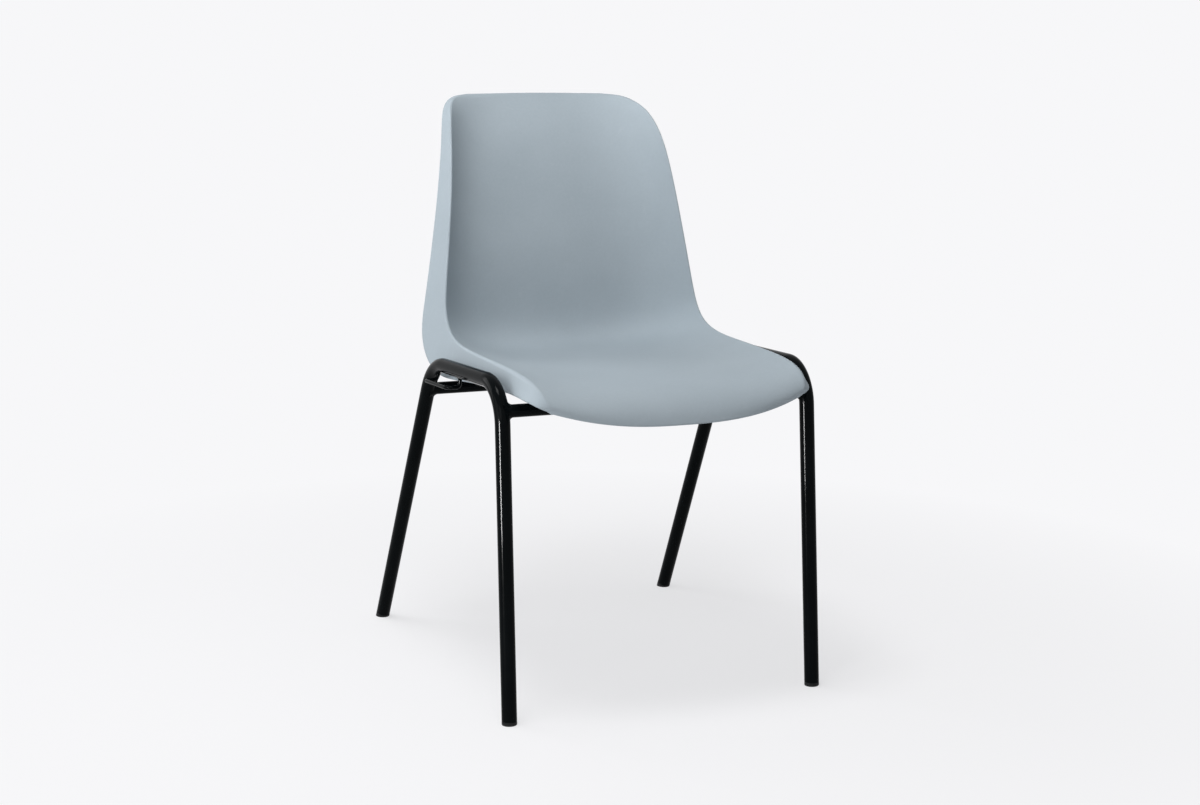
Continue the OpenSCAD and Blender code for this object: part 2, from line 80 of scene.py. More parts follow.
def round_angles(segments):
    return [2 * math.pi * k / segments for k in range(segments)]


# ---------------------------------------------------------------- the frame's centre lines
FOOT_SPAN = FRONT_RAKE + RAIL_LEN + REAR_RAKE
FRONT_LEAN = math.atan(FRONT_RAKE / RAIL_H)
RAIL_SLOPE = math.atan(RAIL_FALL / RAIL_LEN)
REAR_LEAN = math.atan(REAR_RAKE / (RAIL_H - RAIL_FALL))
OVERALL_DEPTH = LIP_OVERHANG + FOOT_SPAN * math.cos(TOE_OUT) + TUBE_R / math.cos(REAR_LEAN)
LIP_Y = -OVERALL_DEPTH / 2
FRONT_TURN = QUARTER - FRONT_LEAN + RAIL_SLOPE
REAR_TURN = QUARTER - REAR_LEAN - RAIL_SLOPE
FRONT_BEND_REACH = FRONT_BEND_R * math.tan(FRONT_TURN / 2)
REAR_BEND_REACH = REAR_BEND_R * math.tan(REAR_TURN / 2)
FRONT_LEG_LEN = math.hypot(FRONT_RAKE, RAIL_H) - FRONT_BEND_REACH
RAIL_STRAIGHT = math.hypot(RAIL_LEN, RAIL_FALL) - FRONT_BEND_REACH - REAR_BEND_REACH
REAR_LEG_LEN = math.hypot(REAR_RAKE, RAIL_H - RAIL_FALL) - REAR_BEND_REACH

FRONT_FOOT = vec(
    SHELL_W / 2 + RAIL_GAP + TUBE_R
    - FRONT_RAKE * math.sin(TOE_OUT) * math.cos(LEAN_IN) + RAIL_H * math.sin(LEAN_IN),
    LIP_Y + LIP_OVERHANG,
    0,
)
# The right hoop's own directions: outwards, backwards and upwards
OUTWARD = vec(
    math.cos(TOE_OUT) * math.cos(LEAN_IN), -math.sin(TOE_OUT), math.cos(TOE_OUT) * math.sin(LEAN_IN)
)
BACKWARD = vec(
    math.sin(TOE_OUT) * math.cos(LEAN_IN), math.cos(TOE_OUT), math.sin(TOE_OUT) * math.sin(LEAN_IN)
)
UPWARD = vec(-math.sin(LEAN_IN), 0, math.cos(LEAN_IN))


def on_hoop(back, up):
    """A point in the right hoop's plane, by its place behind and above the front foot."""
    return FRONT_FOOT + back * BACKWARD + up * UPWARD


def turn_about(v, axis, angle):
    """The vector turned about an axis of length 1."""
    return (
        v * math.cos(angle)
        + np.cross(axis, v) * math.sin(angle)
        + axis * np.dot(axis, v) * (1 - math.cos(angle))
    )


def bent_path(start, along, side, lengths, bends, bend_step=math.radians(3.2), run_step=40.0):
    """Points and directions along a rod: straight lengths, with a bend after each but the last.
    A bend is its turn, its radius and how far the rod is rolled about its own line before it."""
    p, d, s = start, unit(along), unit(side)
    points, ways = [p], [d]
    for k, length in enumerate(lengths):
        steps = max(1, round(length / run_step))
        for i in range(1, steps + 1):
            points.append(p + d * length * i / steps)
            ways.append(d)
        p = points[-1]
        if k < len(bends):
            turn, r, roll = bends[k]
            s = turn_about(s, d, roll)
            hub, axis, d0, s0 = p + s * r, np.cross(d, s), d, s
            steps = max(2, math.ceil(turn / bend_step))
            for i in range(1, steps + 1):
                a = turn * i / steps
                points.append(hub - r * turn_about(s0, axis, a))
                ways.append(turn_about(d0, axis, a))
            p, d, s = points[-1], ways[-1], turn_about(s0, axis, turn)
    return np.array(points), np.array(ways)


def hoop_path(front_cut=0, rear_cut=0, **steps):
    """The right hoop's centre line from foot to foot, less a cut at each end."""
    leg = math.cos(FRONT_LEAN) * UPWARD + math.sin(FRONT_LEAN) * BACKWARD
    side = math.cos(FRONT_LEAN) * BACKWARD - math.sin(FRONT_LEAN) * UPWARD
    return bent_path(
        FRONT_FOOT + leg * front_cut, leg, side,
        [FRONT_LEG_LEN - front_cut, RAIL_STRAIGHT, REAR_LEG_LEN - rear_cut],
        [(FRONT_TURN, FRONT_BEND_R, 0), (REAR_TURN, REAR_BEND_R, 0)],
        **steps,
    )


def bar_back(height, corner_back, rake, leg_len, lean, bend_r, way):
    """How far behind the front foot the hoop's centre line is, at a height below the rail.
    The way is -1 on the front leg and 1 on the rear leg."""
    bend_up = leg_len * math.cos(lean)
    if height <= bend_up:
        return corner_back + way * (rake - height * math.tan(lean))
    hub_back = corner_back + way * (rake - leg_len * math.sin(lean) - bend_r * math.cos(lean))
    hub_up = bend_up - bend_r * math.sin(lean)
    return hub_back + way * math.sqrt(bend_r ** 2 - (height - hub_up) ** 2)


# Where the crossbars' centre lines meet the right hoop's
FRONT_BAR_END = on_hoop(
    bar_back(FRONT_BAR_H, FRONT_RAKE, FRONT_RAKE, FRONT_LEG_LEN, FRONT_LEAN, FRONT_BEND_R, -1),
    FRONT_BAR_H,
)
REAR_BAR_END = on_hoop(
    bar_back(REAR_BAR_H, FRONT_RAKE + RAIL_LEN, REAR_RAKE, REAR_LEG_LEN, REAR_LEAN, REAR_BEND_R, 1),
    REAR_BAR_H,
)

# ---------------------------------------------------------------- the shell's form
# Its rows run from the front lip over the seat and up the back to the top edge.
# Its centre line, as shares of the shell's depth and height
CENTRE_SHARES = np.array([
    [0, 0], [0.006, 0.036], [0.032, 0.078], [0.086, 0.104], [0.171, 0.114], [0.324, 0.112],
    [0.468, 0.101], [0.588, 0.092], [0.700, 0.087], [0.770, 0.103], [0.800, 0.175],
    [0.808, 0.295], [0.820, 0.438], [0.845, 0.581], [0.878, 0.716], [0.915, 0.835],
    [0.957, 0.924], [0.984, 0.970], [1, 1],
])
# Its right rim, as shares of half the width, the depth and the height
RIM_SHARES = np.array([
    [0.882, 0.043, 0.048], [0.915, 0.037, 0.070], [0.940, 0.050, 0.101], [0.965, 0.090, 0.134],
    [0.987, 0.171, 0.152], [0.997, 0.324, 0.154], [1, 0.450, 0.153], [1, 0.565, 0.153],
    [0.994, 0.640, 0.174], [0.990, 0.684, 0.218], [0.979, 0.706, 0.285], [0.954, 0.718, 0.381],
    [0.920, 0.734, 0.505], [0.887, 0.753, 0.632], [0.856, 0.779, 0.759], [0.826, 0.815, 0.869],
    [0.778, 0.870, 0.949], [0.696, 0.936, 0.992], [0.535, 0.982, 0.999],
])
# The depth of the side flange, as a share of its depth down the side of the back. It runs out
# nearer the top corners than the CAD shell's, which keeps a small nib there.
FLANGE_SHARES = np.array([
    0.04, 0.12, 0.24, 0.36, 0.41, 0.53, 0.66, 0.83, 1.14, 1.42,
    0.94, 0.82, 0.73, 0.63, 0.53, 0.42, 0.27, 0.10, 0.008,
])
# The angle by which the flange spreads outwards
FLANGE_ANGLES = np.radians(
    [30, 30, 30, 26, 15, 11, 11, 11, 12, 14, 16, 17, 17, 17, 17, 17, 17, 17, 17]
)
# How far the rim rolls over, as a share of the whole turn from the face to the flange
ROLL_SHARES = np.array([0.1, 0.4, 0.8, 1, 1, 1, 1, 1, 1, 1, 1, 1, 1, 1, 1, 1, 0.9, 0.5, 0.1])
# The power of the curve across each row: low is a plain arch, high is flat with raised sides
CROWN_POWERS = np.array(
    [2.6, 2.8, 3.2, 3.8, 4, 4, 4, 4, 4, 4.3, 4.6, 4.8, 4.8, 4.8, 4.8, 4.6, 4, 3.2, 2.4]
)
# The outer round of the rim: crisp up the back and softer round the seat
RIM_ROUNDS = np.array(
    [5, 5, 5, 6, 6, 5, 4, 3, 2.4, 2, 1.6, 1.5, 1.5, 1.5, 1.5, 1.6, 2.2, 3.5, 4]
)
# The widest half turn for which a tighter round is set out to its corner
SHARPEST = math.radians(55)
LAST_ROW = len(CENTRE_SHARES) - 1
# Half the stretch of rows that gives the rim's direction
PROBE = 0.05
HALVINGS = 40


def smooth_at(rows, t):
    """A smooth curve through a table of rows, at place t counted in rows."""
    last = len(rows) - 1
    i = min(int(math.floor(t)), last - 1)
    f = t - i
    before = 2 * rows[0] - rows[1] if i == 0 else rows[i - 1]
    after = 2 * rows[last] - rows[last - 1] if i == last - 1 else rows[i + 2]
    return (
        before * (1 - f) ** 3 + rows[i] * (3 * f ** 3 - 6 * f * f + 4)
        + rows[i + 1] * (-3 * f ** 3 + 3 * f * f + 3 * f + 1) + after * f ** 3
    ) / 6


def row_at(y):
    """The row whose centre line lies at depth y, found by halving the table."""
    low, high = 0.0, float(LAST_ROW)
    for _ in range(HALVINGS):
        mid = (low + high) / 2
        if LIP_Y + SHELL_DEPTH * smooth_at(CENTRE_SHARES, mid)[0] < y:
            low = mid
        else:
            high = mid
    return (low + high) / 2


LIP_Z = (
    FRONT_BAR_END[2] + BAR_R + SEAT_RISE
    - SHELL_H * smooth_at(CENTRE_SHARES, row_at(FRONT_BAR_END[1]))[1]
)


def centre_at(t):
    s = smooth_at(CENTRE_SHARES, t)
    return vec(0, LIP_Y + SHELL_DEPTH * s[0], LIP_Z + SHELL_H * s[1])


def rim_at(t):
    s = smooth_at(RIM_SHARES, t)
    return vec(SHELL_W / 2 * s[0], LIP_Y + SHELL_DEPTH * s[1], LIP_Z + SHELL_H * s[2])


def spoke(out, under, a):
    """A direction from the roll's hub, by its angle from outwards towards the upper side."""
    return math.cos(a) * out - math.sin(a) * under


def roll_at(t):
    """The roll round the rim: its hub, radius, first and last angle, and two directions."""
    centre, rim = centre_at(t), rim_at(t)
    run = unit(rim_at(min(t + PROBE, LAST_ROW)) - rim_at(max(t - PROBE, 0)))
    under = unit(vec(0, run[2], -run[1]))
    out = np.cross(under, run)
    power, r = smooth_at(CROWN_POWERS, t), smooth_at(RIM_ROUNDS, t)
    climb = vec(rim[0], power * (rim[1] - centre[1]), power * (rim[2] - centre[2]))
    first = QUARTER + math.atan2(-(climb @ under), climb @ out)
    last = first + (smooth_at(FLANGE_ANGLES, t) - first) * smooth_at(ROLL_SHARES, t)
    # A tighter round than the moulded one keeps the face and the flange where they are
    sharper = (RIM_R - r) / math.cos(min(abs(last - first) / 2, SHARPEST))
    hub = rim + (sharper - RIM_R) * spoke(out, under, (first + last) / 2)
    return hub, r, first, last, out, under


def half_row(t, shares, rim_steps, flange_steps):
    """The right half of a row: the face, then the roll round the rim, then the flange."""
    centre, power = centre_at(t), smooth_at(CROWN_POWERS, t)
    hub, r, first, last, out, under = roll_at(t)
    edge, heel = (hub + r * spoke(out, under, a) for a in (first, last))
    flange_len = FLANGE_D * smooth_at(FLANGE_SHARES, t)
    flange = (math.sin(last) * out + math.cos(last) * under) * flange_len
    row = [
        vec(edge[0] * s, *(centre[1:] + (edge[1:] - centre[1:]) * s ** power)) for s in shares
    ]
    for k in range(1, rim_steps + 1):
        row.append(hub + r * spoke(out, under, first + (last - first) * k / rim_steps))
    row += [heel + flange * k / flange_steps for k in range(1, flange_steps + 1)]
    return row


# ---------------------------------------------------------------- materials
# Linear colours of each material, from its darkest to its lightest
SHELL_GREYS = (0.330, 0.384, 0.424), (0.356, 0.411, 0.452)
PAINT_BLACKS = (0.0014, 0.0022, 0.0026), (0.003, 0.0042, 0.0048)
PLUG_BLACKS = (0.008, 0.009, 0.010), (0.014, 0.015, 0.016)
ZINC_GREYS = (0.50, 0.51, 0.53), (0.66, 0.67, 0.69)
BRASS_YELLOWS = (0.60, 0.42, 0.17), (0.78, 0.57, 0.26)
# What lies on them
SPECK_SHADES = (0.97, 0.97, 0.97), (1.0, 1.0, 1.0)
SCUFF_COLOUR = (0.56, 0.59, 0.61)
DUST_COLOUR = (0.10, 0.10, 0.10)
WORN_COLOUR = (0.08, 0.078, 0.075)
# How strongly a scuff lightens the shell, and how much rougher scuffs and wear are
SCUFF_TINT, SCUFF_ROUGHER, WEAR_ROUGHER = 0.10, 0.07, 0.25
# The stretch of a noise over which a colour or a roughness changes
MIDDLE, WIDE_MIDDLE = (0.3, 0.7), (0.3, 0.75)
# How far up from the floor a foot plug is worn, in metres
WEAR_HEIGHT = 0.004


def node_material(name):
    mat = bpy.data.materials.new(name)
    mat.use_nodes = True
    tree = mat.node_tree
    coords = tree.nodes.new("ShaderNodeTexCoord")
    return mat, tree, tree.nodes["Principled BSDF"], coords.outputs["Object"]


def feed(tree, value, socket):
    """A number or a colour is set on the socket itself, and anything else is linked to it."""
    if isinstance(value, (int, float)):
        socket.default_value = value
    elif isinstance(value, tuple):
        socket.default_value = (*value, 1)
    else:
        tree.links.new(value, socket)


def noise(tree, place, scale, detail, rough, stretch=None):
    """A noise whose scale is in cells per metre."""
    if stretch:
        spread = tree.nodes.new("ShaderNodeMapping")
        spread.inputs["Scale"].default_value = stretch
        tree.links.new(place, spread.inputs["Vector"])
        place = spread.outputs["Vector"]
    node = tree.nodes.new("ShaderNodeTexNoise")
    node.inputs["Scale"].default_value = scale
    node.inputs["Detail"].default_value = detail
    node.inputs["Roughness"].default_value = rough
    tree.links.new(place, node.inputs["Vector"])
    return node.outputs["Fac"]


def ramp(tree, value, span, colours):
    """A colour that goes from the first to the second while the value crosses the span."""
    node = tree.nodes.new("ShaderNodeValToRGB")
    for element, at, colour in zip(node.color_ramp.elements, span, colours):
        element.position = at
        element.color = (*colour, 1)
    tree.links.new(value, node.inputs["Fac"])
    return node.outputs["Color"]


def remap(tree, value, given, wanted):
    """The value moved from one range to another, and kept inside it."""
    node = tree.nodes.new("ShaderNodeMapRange")
    for end, was, becomes in zip(("Min", "Max"), given, wanted):
        node.inputs["From " + end].default_value = was
        node.inputs["To " + end].default_value = becomes
    tree.links.new(value, node.inputs["Value"])
    return node.outputs["Result"]


def maths(tree, kind, a, b):
    node = tree.nodes.new("ShaderNodeMath")
    node.operation = kind
    for socket, value in zip(node.inputs, (a, b)):
        feed(tree, value, socket)
    return node.outputs["Value"]


def blend_colour(tree, factor, a, b, kind="MIX"):
    node = tree.nodes.new("ShaderNodeMix")
    node.data_type = "RGBA"
    node.blend_type = kind
    feed(tree, factor, node.inputs[0])
    for socket, value in zip([s for s in node.inputs if s.type == "RGBA"], (a, b)):
        feed(tree, value, socket)
    return [s for s in node.outputs if s.type == "RGBA"][0]


def bump(tree, shader, *layers):
    """Bump layers, each a height, a depth in metres and a strength."""
    last = None
    for height, depth, strength in layers:
        node = tree.nodes.new("ShaderNodeBump")
        node.inputs["Distance"].default_value = depth
        node.inputs["Strength"].default_value = strength
        tree.links.new(height, node.inputs["Height"])
        if last is not None:
            tree.links.new(last, node.inputs["Normal"])
        last = node.outputs["Normal"]
    tree.links.new(last, shader.inputs["Normal"])


def shell_material():
    """Moulded polypropylene: a fine even grain, a faint flow mottle and light scuffs."""
    mat, tree, shader, place = node_material("shell_polypropylene")
    mottle = noise(tree, place, scale=9, detail=4, rough=0.55)
    fine = noise(tree, place, scale=260, detail=2, rough=0.5)
    base = ramp(tree, mottle, MIDDLE, SHELL_GREYS)
    specks = ramp(tree, fine, MIDDLE, SPECK_SHADES)
    base = blend_colour(tree, 1.0, base, specks, "MULTIPLY")
    scuff = noise(tree, place, scale=42, detail=5, rough=0.65, stretch=(1.0, 3.5, 1.0))
    scuff = remap(tree, scuff, (0.62, 0.74), (0.0, 1.0))
    base = blend_colour(tree, maths(tree, "MULTIPLY", scuff, SCUFF_TINT), base, SCUFF_COLOUR)
    sheen = remap(tree, mottle, MIDDLE, (0.66, 0.74))
    rough = maths(tree, "ADD", sheen, maths(tree, "MULTIPLY", scuff, SCUFF_ROUGHER))
    feed(tree, base, shader.inputs["Base Color"])
    feed(tree, rough, shader.inputs["Roughness"])
    shader.inputs["IOR"].default_value = 1.49
    shader.inputs["Specular IOR Level"].default_value = 0.12
    waves = noise(tree, place, scale=22, detail=2, rough=0.5)
    grain = noise(tree, place, scale=1500, detail=2, rough=0.6)
    bump(tree, shader, (waves, 0.0004, 0.25), (grain, 0.00006, 0.55))
    return mat


def paint_material():
    """Gloss black powder coat: a faint orange peel, with dust dulling it here and there."""
    mat, tree, shader, place = node_material("frame_powder_coat")
    cloud = noise(tree, place, scale=14, detail=4, rough=0.6)
    dust = noise(tree, place, scale=900, detail=3, rough=0.6)
    base = ramp(tree, cloud, WIDE_MIDDLE, PAINT_BLACKS)
    base = blend_colour(tree, remap(tree, dust, (0.66, 0.72), (0.0, 0.10)), base, DUST_COLOUR)
    feed(tree, base, shader.inputs["Base Color"])
    feed(tree, remap(tree, cloud, WIDE_MIDDLE, (0.10, 0.17)), shader.inputs["Roughness"])
    shader.inputs["IOR"].default_value = 1.5
    shader.inputs["Specular IOR Level"].default_value = 0.03
    peel = noise(tree, place, scale=420, detail=2, rough=0.45)
    bump(tree, shader, (peel, 0.00012, 0.12))
    return mat


def plug_material(name, floor_wear):
    """Black moulded plastic; a foot plug is scuffed grey near the floor."""
    mat, tree, shader, place = node_material(name)
    cloud = noise(tree, place, scale=60, detail=4, rough=0.6)
    base = ramp(tree, cloud, WIDE_MIDDLE, PLUG_BLACKS)
    rough = remap(tree, cloud, WIDE_MIDDLE, (0.42, 0.55))
    if floor_wear:
        axes = tree.nodes.new("ShaderNodeSeparateXYZ")
        tree.links.new(place, axes.inputs["Vector"])
        low = remap(tree, axes.outputs["Z"], (0.0, WEAR_HEIGHT), (1.0, 0.0))
        marks = noise(tree, place, scale=700, detail=4, rough=0.65)
        worn = maths(tree, "MULTIPLY", low, remap(tree, marks, (0.45, 0.62), (0.0, 0.45)))
        base = blend_colour(tree, worn, base, WORN_COLOUR)
        rough = maths(tree, "ADD", rough, maths(tree, "MULTIPLY", worn, WEAR_ROUGHER))
    feed(tree, base, shader.inputs["Base Color"])
    feed(tree, rough, shader.inputs["Roughness"])
    shader.inputs["IOR"].default_value = 1.5
    shader.inputs["Specular IOR Level"].default_value = 0.10
    grain = noise(tree, place, scale=1800, detail=2, rough=0.6)
    bump(tree, shader, (grain, 0.00005, 0.5))
    return mat


def metal_material(name, colours, roughness):
    """Plated or turned metal, a little cloudy, with fine brushed lines."""
    mat, tree, shader, place = node_material(name)
    cloud = noise(tree, place, scale=350, detail=4, rough=0.6)
    feed(tree, ramp(tree, cloud, MIDDLE, colours), shader.inputs["Base Color"])
    feed(tree, remap(tree, cloud, MIDDLE, roughness), shader.inputs["Roughness"])
    shader.inputs["Metallic"].default_value = 1.0
    lines = noise(tree, place, scale=500, detail=3, rough=0.6, stretch=(1.0, 1.0, 14.0))
    bump(tree, shader, (lines, 0.00003, 0.4))
    return mat


SHELL_MAT = shell_material()
PAINT_MAT = paint_material()
FOOT_MAT = plug_material("foot_plug_plastic", True)
WASHER_MAT = plug_material("saddle_washer_plastic", False)
ZINC_MAT = metal_material("screw_zinc", ZINC_GREYS, (0.24, 0.38))
BRASS_MAT = metal_material("insert_brass", BRASS_YELLOWS, (0.28, 0.42))


# ---------------------------------------------------------------- mesh helpers
# A form is a list of points in millimetres and a list of faces.
def raw_mesh(verts, faces, name="raw"):
    mesh = bpy.data.meshes.new(name)
    points = [tuple(float(c) * MM for c in v) for v in verts]
    mesh.from_pydata(points, [], [tuple(f) for f in faces])
    return mesh


def as_piece(name, mesh, material, sharp_angle):
    """A piece of the chair from a mesh in the frame's metres."""
    mesh.materials.clear()
    mesh.materials.append(material)
    mesh.polygons.foreach_set("use_smooth", [True] * len(mesh.polygons))
    mesh.set_sharp_from_angle(angle=math.radians(sharp_angle))
    mesh.update()
    obj = bpy.data.objects.new(name, mesh)
    bpy.context.scene.collection.objects.link(obj)
    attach(obj, "root")
    return obj


def merged(mesh, *others):
    """The first mesh, with the others added to it."""
    work = bmesh.new()
    for source in (mesh, *others):
        work.from_mesh(source)
    work.to_mesh(mesh)
    work.free()
    return mesh


def turned(faces):
    return [tuple(reversed(f)) for f in faces]


def mirrored(verts, faces):
    return [flip(v) for v in verts], turned(faces)


def tube_rings(points, ways, radius, segments, side):
    """Rings of points round a path, each begun on the same side of it."""
    s = unit(np.cross(ways[0], side))
    rings = []
    for p, d in zip(points, ways):
        s = unit(s - d * (s @ d))
        q = np.cross(d, s)
        rings.append(
            [p + radius * (math.cos(a) * s + math.sin(a) * q) for a in round_angles(segments)]
        )
    return rings


def skin_rings(rings, closed=False):
    """A surface through rings of equal size, with its normals outwards when the rings run
    anticlockwise seen against the path. Unless it is closed, both ends are capped."""
    n = len(rings[0])
    verts = [v for ring in rings for v in ring]
    faces = []
    for i in range(len(rings) if closed else len(rings) - 1):
        a, b = i * n, ((i + 1) % len(rings)) * n
        for k in range(n):
            m = (k + 1) % n
            faces.append((a + k, a + m, b + m, b + k))
    if not closed:
        faces.append(tuple(range(n - 1, -1, -1)))
        faces.append(tuple(range((len(rings) - 1) * n, len(rings) * n)))
    return verts, faces


def join(*forms):
    verts, faces = [], []
    for v, f in forms:
        base = len(verts)
        verts += list(v)
        faces += [tuple(i + base for i in face) for face in f]
    return verts, faces


# A direction that none of the turned parts' axes follows
ASKEW = vec(0.31, 0.95, 0.05)


def lathe(profile, start, along, segments):
    """A closed turned form. The profile is a list of (radius, place along the axis)."""
    d = unit(along)
    s = unit(np.cross(d, ASKEW))
    q = np.cross(d, s)
    verts, faces, rings = [], [], []
    for r, h in profile:
        if r == 0:
            rings.append([len(verts)])
            verts.append(start + d * h)
        else:
            rings.append(list(range(len(verts), len(verts) + segments)))
            for a in round_angles(segments):
                verts.append(start + d * h + r * (math.cos(a) * s + math.sin(a) * q))
    for low, high in zip(rings, rings[1:]):
        for k in range(segments):
            m = (k + 1) % segments
            if len(low) == 1:
                faces.append((low[0], high[m], high[k]))
            elif len(high) == 1:
                faces.append((low[k], low[m], high[0]))
            else:
                faces.append((low[k], low[m], high[m], high[k]))
    return verts, faces


def rod(start, along, r, first, last, segments):
    """A plain round rod, by its radius and where it begins and ends along its axis."""
    return lathe([(0, first), (r, first), (r, last), (0, last)], start, along, segments)


def arc(cx, cy, r, a0, a1, steps):
    """Profile points round a corner, by angle in degrees."""
    angles = [math.radians(a0 + (a1 - a0) * k / steps) for k in range(steps + 1)]
    return [(cx + r * math.cos(a), cy + r * math.sin(a)) for a in angles]


def carved(form, cutters):
    """The form less its cutters, as a new mesh."""
    body = bpy.data.objects.new("carved", raw_mesh(*form))
    bpy.context.scene.collection.objects.link(body)
    tools = []
    for k, cutter in enumerate(cutters):
        tool = bpy.data.objects.new("cutter%d" % k, raw_mesh(*cutter))
        bpy.context.scene.collection.objects.link(tool)
        cut = body.modifiers.new("cut%d" % k, "BOOLEAN")
        cut.operation, cut.solver, cut.object = "DIFFERENCE", "EXACT", tool
        tools.append(tool)
    bpy.context.view_layer.update()
    result = body.evaluated_get(bpy.context.evaluated_depsgraph_get())
    mesh = bpy.data.meshes.new_from_object(result)
    for obj in [body] + tools:
        bpy.data.objects.remove(obj)
    return mesh


# ---------------------------------------------------------------- the shell
FACE_STEPS, ROLL_STEPS, FLANGE_STEPS, EDGE_STEPS = 30, 12, 8, 6
# Rows per row of the tables, more of them where the flange rounds the corner below the back
ROW_STEPS, CORNER_STEPS, CORNER_START, CORNER_END = 8, 14, 7, 11
# Above 1, the face's points crowd towards the rim
FACE_CROWDING = 1.5
# How far the sheet's edge bulges, and the least round of the wall's inner side
EDGE_ROUND, INNER_R = 0.35 * SHELL_WALL, 0.05


def row_places():
    places = [k / ROW_STEPS for k in range(CORNER_START * ROW_STEPS)]
    corner_rows = (CORNER_END - CORNER_START) * CORNER_STEPS
    places += [CORNER_START + k / CORNER_STEPS for k in range(corner_rows)]
    rows_after = (LAST_ROW - CORNER_END) * ROW_STEPS + 1
    return places + [CORNER_END + k / ROW_STEPS for k in range(rows_after)]


def sheet_skin(places):
    """The upper side of the sheet: rows from the lip to the top edge, each from left to right."""
    shares = [1 - (1 - k / FACE_STEPS) ** FACE_CROWDING for k in range(FACE_STEPS + 1)]
    skin = []
    for t in places:
        half = half_row(t, shares, ROLL_STEPS, FLANGE_STEPS)
        skin.append([flip(p) for p in half[:0:-1]] + half)
    return np.array(skin)


def differences(grid):
    """From each point's neighbour before it to the one after it, along the grid's first axis."""
    steps = np.empty_like(grid)
    steps[1:-1] = grid[2:] - grid[:-2]
    steps[0], steps[-1] = grid[1] - grid[0], grid[-1] - grid[-2]
    return steps


def tuck_corner(lining, skin, t):
    """Where the wall is thicker than the rim's round, its inner side meets in a plain corner."""
    hub, r, first, last, out, under = roll_at(t)
    gap, turn, mid = SHELL_WALL - r, abs(last - first), (first + last) / 2
    if gap <= INNER_R:
        return
    core = hub - gap / math.cos(turn / 2) * spoke(out, under, mid)
    centre = len(skin) // 2
    edge, heel = centre + FACE_STEPS, centre + FACE_STEPS + ROLL_STEPS
    for k in range(ROLL_STEPS + 1):
        a = first + (last - first) * k / ROLL_STEPS
        lining[edge + k] = core + INNER_R * spoke(out, under, a)
    # Beside the corner, the lining runs straight over the stretch that would fold
    reach = 2 * gap * math.tan(turn / 2)
    for start, step, stop in ((edge, -1, centre), (heel, 1, len(skin) - 1)):
        away = [start]
        while away[-1] != stop and np.linalg.norm(skin[away[-1]] - skin[start]) < reach:
            away.append(away[-1] + step)
        far = np.linalg.norm(skin[away[-1]] - skin[start])
        for j in away[1:-1]:
            share = np.linalg.norm(skin[j] - skin[start]) / far
            lining[j] = lining[start] + (lining[away[-1]] - lining[start]) * share
    for k in range(1, centre + 1):
        lining[centre - k] = flip(lining[centre + k])


def way_out(skin, i, j):
    """Away from the neighbour inside the sheet, or from both of them at a corner."""
    rows, cols = skin.shape[:2]
    inner_i, inner_j = min(max(i, 1), rows - 2), min(max(j, 1), cols - 2)
    inside = [skin[inner_i, j]] if inner_i != i else []
    inside += [skin[i, inner_j]] if inner_j != j else []
    return unit(sum(unit(skin[i, j] - p) for p in inside))


def sheet_form():
    """The moulded sheet: its upper side, its lining and the round edge between them."""
    places = row_places()
    skin = sheet_skin(places)
    rows, cols = skin.shape[:2]
    across = differences(skin.swapaxes(0, 1)).swapaxes(0, 1)
    lift = np.cross(across, differences(skin))
    lining = skin - SHELL_WALL * lift / np.linalg.norm(lift, axis=2, keepdims=True)
    for i, t in enumerate(places):
        tuck_corner(lining[i], skin[i], t)
    verts = list(skin.reshape(-1, 3)) + list(lining.reshape(-1, 3))
    back = rows * cols

    def at(i, j):
        return i * cols + j

    faces = []
    for i in range(rows - 1):
        for j in range(cols - 1):
            quad = (at(i, j), at(i, j + 1), at(i + 1, j + 1), at(i + 1, j))
            faces += [quad, tuple(back + v for v in reversed(quad))]
    walk = [(0, j) for j in range(cols - 1)] + [(i, cols - 1) for i in range(rows - 1)]
    walk += [(rows - 1, j) for j in range(cols - 1, 0, -1)]
    walk += [(i, 0) for i in range(rows - 1, 0, -1)]
    outs = [way_out(skin, i, j) for i, j in walk]
    bands = [[at(i, j) for i, j in walk]]
    for step in range(1, EDGE_STEPS):
        a = math.pi * step / EDGE_STEPS
        bands.append(list(range(len(verts), len(verts) + len(walk))))
        for (i, j), out in zip(walk, outs):
            mid, half = (skin[i, j] + lining[i, j]) / 2, (skin[i, j] - lining[i, j]) / 2
            verts.append(mid + math.cos(a) * half + math.sin(a) * EDGE_ROUND * out)
    bands.append([back + at(i, j) for i, j in walk])
    for upper, lower in zip(bands, bands[1:]):
        for k in range(len(walk)):
            m = (k + 1) % len(walk)
            faces.append((upper[k], lower[k], lower[m], upper[m]))
    return verts, faces


sheet = sheet_form()
sheet_tree = BVHTree.FromPolygons([tuple(v) for v in sheet[0]], sheet[1])

# ---------------------------------------------------------------- the bosses under the seat
BOSS_SEGMENTS, FILLET_STEPS, EDGE_R_STEPS = 64, 6, 3
BOSS_EDGE_R, BOSS_FILLET_R, BOSS_MIDDLE_R = 0.8, 3.0, 0.4
# How far the fillet's upper end lies inside the wall
FILLET_SINK = 0.25
BORE_SEGMENTS, SADDLE_SEGMENTS = 48, 96


def underside(x, y, z):
    """The height of the sheet's underside above a point."""
    return sheet_tree.ray_cast(Vector((x, y, z)), Vector((0, 0, 1)))[0].z


